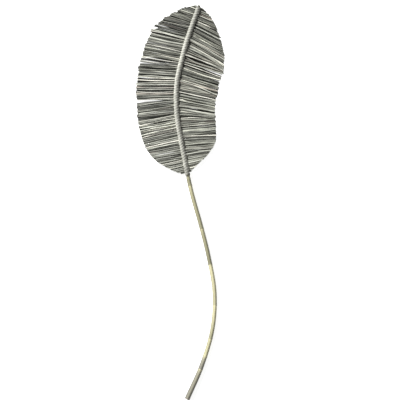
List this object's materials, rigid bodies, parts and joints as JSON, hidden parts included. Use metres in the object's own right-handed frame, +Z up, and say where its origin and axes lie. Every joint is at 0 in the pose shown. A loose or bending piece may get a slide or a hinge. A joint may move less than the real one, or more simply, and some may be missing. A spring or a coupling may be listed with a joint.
{
  "type": "dried seagrass leaf",
  "caption": "Decorative leaf of dried seagrass: straws trimmed to a broad leaf shape on both sides of a bent, wound cane that runs on as its stem.",
  "frame": {"origin": "middle of the leaf's box, on the surface that it lies on", "axes": "+X across the leaf, to the right as seen from above with the tip ahead; +Y from the cut end of the stem to the tip; +Z up from the surface, out of the face of the blade"},
  "size_m": [0.2253, 0.9983, 0.0191],
  "materials": {
    "cane": "satin",
    "wrap": "matte",
    "straw": "matte"
  },
  "bodies": {
    "root": {"cane_stem": "cane", "midrib_wrap": "wrap", "straws_left": "straw", "straws_right": "straw"}
  },
  "joints": []
}
